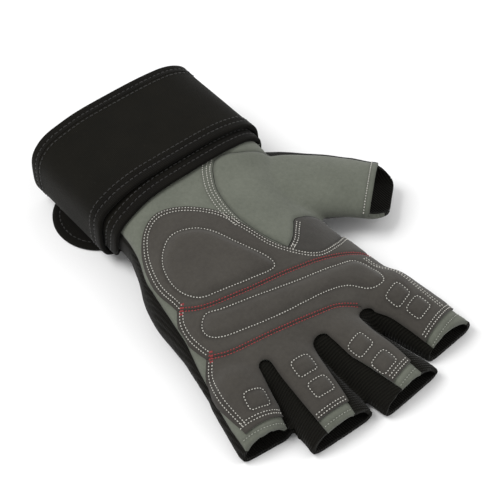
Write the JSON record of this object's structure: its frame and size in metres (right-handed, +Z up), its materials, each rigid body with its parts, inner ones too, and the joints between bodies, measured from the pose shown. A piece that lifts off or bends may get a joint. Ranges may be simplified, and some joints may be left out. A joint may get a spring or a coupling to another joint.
{
  "type": "weightlifting glove",
  "caption": "Left half-finger lifting glove lying palm up, suede palm with padded patches, ribbed finger sides and a long wound wrist wrap with a round tab.",
  "frame": {"origin": "on the surface that the back of the hand rests on, under the middle of the palm", "axes": "+X towards the thumb side, +Y towards the wrist end of the wrap, -Y towards the finger ends, +Z up through the palm"},
  "size_m": [0.1523, 0.1994, 0.0424],
  "materials": {
    "suede_light": "napped grey-green suede",
    "suede_dark": "napped dark grey suede",
    "stretch_black": "black ribbed stretch fabric",
    "neoprene_black": "fabric-faced neoprene, black",
    "tape_black": "woven black binding tape"
  },
  "bodies": {
    "root": {"palm_base": "suede_light", "thumb_palm": "suede_light", "thumb_web_gusset": "suede_dark", "overlay_heel": "suede_dark", "overlay_bar": "suede_dark", "overlay_fingers": "suede_dark", "back_panel": "stretch_black", "thumb_back": "stretch_black", "fourchette_ring_little": "stretch_black", "fourchette_middle_ring": "stretch_black", "fourchette_index_middle": "stretch_black", "cuff_band": "neoprene_black", "wrap_band": "neoprene_black", "wrap_binding_hand": "tape_black", "wrap_binding_wrist": "tape_black", "wrap_tab": "tape_black"}
  },
  "joints": []
}
